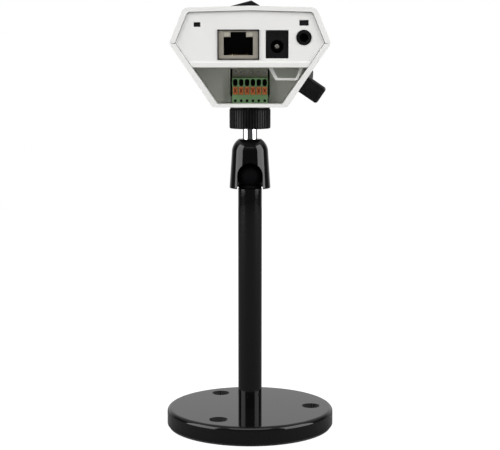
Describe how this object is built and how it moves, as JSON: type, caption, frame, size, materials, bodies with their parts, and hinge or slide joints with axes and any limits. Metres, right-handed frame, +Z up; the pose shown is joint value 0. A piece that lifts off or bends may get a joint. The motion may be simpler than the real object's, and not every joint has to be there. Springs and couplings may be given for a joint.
{
  "type": "security camera",
  "caption": "Compact network security camera with a manual varifocal auto-iris lens, on a round-based table stand with a lockable ball joint.",
  "frame": {"origin": "centre of the base pad's underside, on the pole's axis, where the stand rests on the table", "axes": "+Z up along the pole; the lens looks along -Y and the rear panel with the sockets faces +Y; +X is to the camera's right side as seen from its front"},
  "size_m": [0.0741, 0.1525, 0.1915],
  "materials": {
    "black_enamel": "glossy black enamel",
    "chrome": "polished chrome plate",
    "steel": "zinc-plated or stainless steel",
    "brass": "brass, machined or plated",
    "white_plastic": "fine-textured white moulding",
    "black_plastic": "black moulding",
    "gloss_black_plastic": "smooth dark plastic",
    "nylon": "natural nylon",
    "rubber": "black rubber",
    "board": "green solder mask",
    "green_plastic": "green moulding",
    "orange_plastic": "orange moulding",
    "black_anodised": "black anodised aluminium",
    "glass": "coated optical glass"
  },
  "bodies": {
    "base": {"base_disc": "black_enamel", "base_pad": "rubber", "base_screw": "steel", "pole": "black_enamel"},
    "ball": {"ball_stud": "black_enamel"},
    "socket": {"ball_seat": "black_plastic", "ball_clip": "steel", "bell_cap": "black_enamel", "stem": "chrome"},
    "knob": {"lock_knob": "black_plastic"},
    "camera": {"lower_shell": "white_plastic", "upper_shell": "white_plastic", "rear_panel": "white_plastic", "recess_liner": "white_plastic", "cable_hook": "white_plastic", "front_bezel": "white_plastic", "bezel_screws": "steel", "shell_screws": "steel", "tripod_insert": "brass", "main_board": "board", "board_screws": "steel", "processor": "black_plastic", "flat_cable": "nylon", "rj45_shield": "steel", "rj45_insert": "black_plastic", "rj45_contacts": "brass", "rj45_lights": "nylon", "dc_jack": "black_plastic", "dc_pin": "chrome", "audio_jack": "black_plastic", "led_lens": "gloss_black_plastic", "reset_switch": "black_plastic", "terminal_header": "nylon", "iris_socket": "black_plastic", "iris_plug": "black_plastic", "iris_lead": "rubber", "cs_mount": "steel", "sensor_board": "board", "image_sensor": "gloss_black_plastic", "lens_body": "black_anodised", "iris_motor": "black_plastic", "front_ring": "black_anodised", "front_element": "glass", "rear_element": "glass"},
    "zoom": {"zoom_ring": "black_anodised"},
    "zoom_lock": {"zoom_lock_screw": "steel"},
    "focus": {"focus_ring": "black_anodised"},
    "focus_lock": {"focus_lock_screw": "steel"},
    "iris_upper": {"iris_blade_upper": "black_anodised"},
    "iris_lower": {"iris_blade_lower": "black_anodised"},
    "reset": {"reset_button": "black_plastic"},
    "plug": {"terminal_plug": "green_plastic"},
    "tab_1": {"terminal_tab_1": "orange_plastic"},
    "tab_2": {"terminal_tab_2": "orange_plastic"},
    "tab_3": {"terminal_tab_3": "orange_plastic"},
    "tab_4": {"terminal_tab_4": "orange_plastic"},
    "tab_5": {"terminal_tab_5": "orange_plastic"},
    "tab_6": {"terminal_tab_6": "orange_plastic"}
  },
  "joints": [
    {"name": "pan", "type": "hinge", "parent": "base", "child": "ball", "pos_m": [0, 0, 0.1125], "axis": [0, 0, 1], "continuous": true},
    {"name": "tilt", "type": "hinge", "parent": "ball", "child": "socket", "pos_m": [0, 0, 0.1125], "axis": [1, 0, 0], "range_deg": [-90, 10]},
    {"name": "swivel", "type": "hinge", "parent": "socket", "child": "camera", "pos_m": [0, 0, 0.145], "axis": [0, 0, 1], "range_deg": [-90, 90]},
    {"name": "lock_knob_turn", "type": "hinge", "parent": "socket", "child": "knob", "pos_m": [0, 0, 0.138], "axis": [0, 0, 1], "continuous": true},
    {"name": "zoom_turn", "type": "hinge", "parent": "camera", "child": "zoom", "pos_m": [0, -0.1011, 0.1638], "axis": [0, 1, 0], "range_deg": [-40, 40]},
    {"name": "zoom_lock_turn", "type": "hinge", "parent": "zoom", "child": "zoom_lock", "pos_m": [0.01879, -0.10115, 0.17064], "axis": [0.9397, 0, 0.342], "range_deg": [-180, 180]},
    {"name": "focus_turn", "type": "hinge", "parent": "camera", "child": "focus", "pos_m": [0, -0.1083, 0.1638], "axis": [0, 1, 0], "range_deg": [-60, 60]},
    {"name": "focus_lock_turn", "type": "hinge", "parent": "focus", "child": "focus_lock", "pos_m": [0.01879, -0.1083, 0.17064], "axis": [0.9397, 0, 0.342], "range_deg": [-180, 180]},
    {"name": "iris_upper_slide", "type": "slide", "parent": "camera", "child": "iris_upper", "axis": [0.2588, 0, 0.9659], "range_m": [0, 0.0025], "stiffness_N_per_m": 20},
    {"name": "iris_lower_slide", "type": "slide", "parent": "camera", "child": "iris_lower", "axis": [0.2588, 0, 0.9659], "range_m": [-0.0025, 0], "stiffness_N_per_m": 20},
    {"name": "reset_press", "type": "slide", "parent": "camera", "child": "reset", "axis": [0, -1, 0], "range_m": [0, 0.0008], "stiffness_N_per_m": 200},
    {"name": "plug_pull", "type": "slide", "parent": "camera", "child": "plug", "axis": [0, 1, 0], "range_m": [0, 0.01]},
    {"name": "tab_1_press", "type": "slide", "parent": "plug", "child": "tab_1", "axis": [0, -1, 0], "range_m": [0, 0.001], "stiffness_N_per_m": 300},
    {"name": "tab_2_press", "type": "slide", "parent": "plug", "child": "tab_2", "axis": [0, -1, 0], "range_m": [0, 0.001], "stiffness_N_per_m": 300},
    {"name": "tab_3_press", "type": "slide", "parent": "plug", "child": "tab_3", "axis": [0, -1, 0], "range_m": [0, 0.001], "stiffness_N_per_m": 300},
    {"name": "tab_4_press", "type": "slide", "parent": "plug", "child": "tab_4", "axis": [0, -1, 0], "range_m": [0, 0.001], "stiffness_N_per_m": 300},
    {"name": "tab_5_press", "type": "slide", "parent": "plug", "child": "tab_5", "axis": [0, -1, 0], "range_m": [0, 0.001], "stiffness_N_per_m": 300},
    {"name": "tab_6_press", "type": "slide", "parent": "plug", "child": "tab_6", "axis": [0, -1, 0], "range_m": [0, 0.001], "stiffness_N_per_m": 300}
  ],
  "couplings": [
    {"joint": "iris_lower_slide", "follows": "iris_upper_slide", "ratio": -1}
  ]
}
